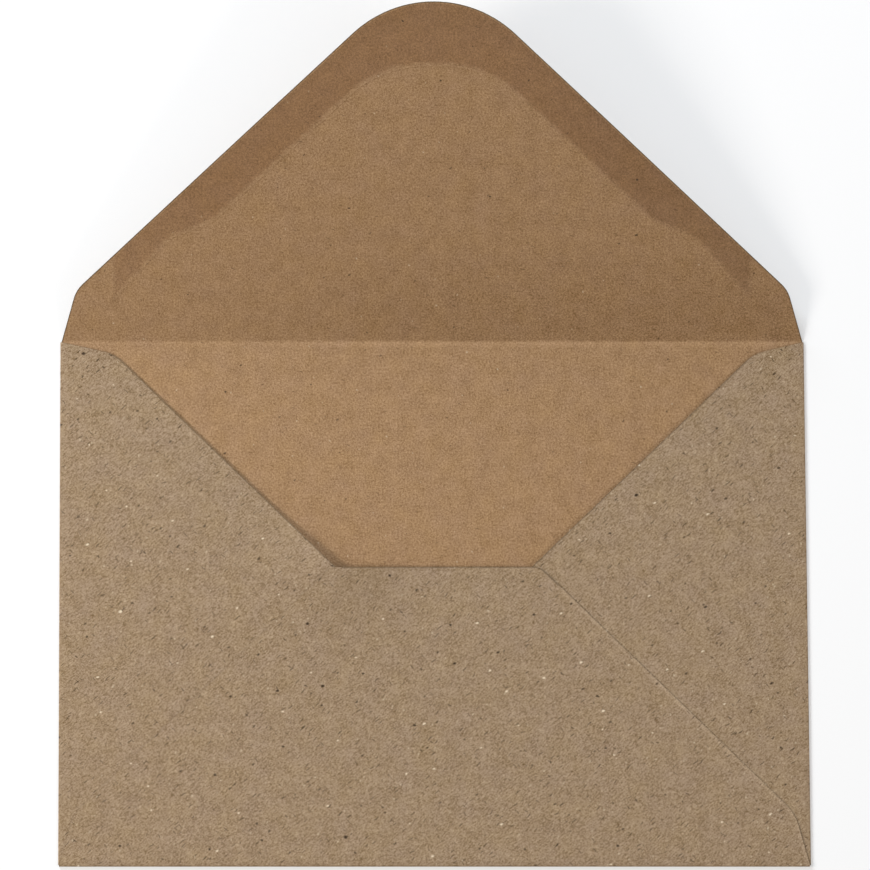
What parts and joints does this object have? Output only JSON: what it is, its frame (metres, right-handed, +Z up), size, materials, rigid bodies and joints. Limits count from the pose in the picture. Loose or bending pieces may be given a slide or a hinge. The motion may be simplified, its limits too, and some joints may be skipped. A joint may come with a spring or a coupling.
{
  "type": "paper envelope",
  "caption": "Brown paper envelope with a pointed top flap laid open, side flaps folded in under a bottom flap, and a band of dried gum along the top flap's edge.",
  "frame": {"origin": "middle of the front panel, on its outer face, which lies on the table; the middle is halfway between the bottom fold and the top crease, and halfway across the bottom fold", "axes": "+X across the envelope to the right as its back is seen with the flap upward, +Y from the bottom fold to the mouth and the top flap's point, +Z up off the table, from the front panel to the back"},
  "size_m": [0.163, 0.1856, 0.0214],
  "materials": {
    "brown_paper": "uncoated, speckled, matte",
    "seal_gum": "dried gum film on paper, faint sheen",
    "seam_glue": "dried glue film, hidden in the seam"
  },
  "bodies": {
    "root": {"folded_sheet": "brown_paper", "seal_gum": "seal_gum", "seam_glue_left": "seam_glue", "seam_glue_right": "seam_glue"}
  },
  "joints": []
}
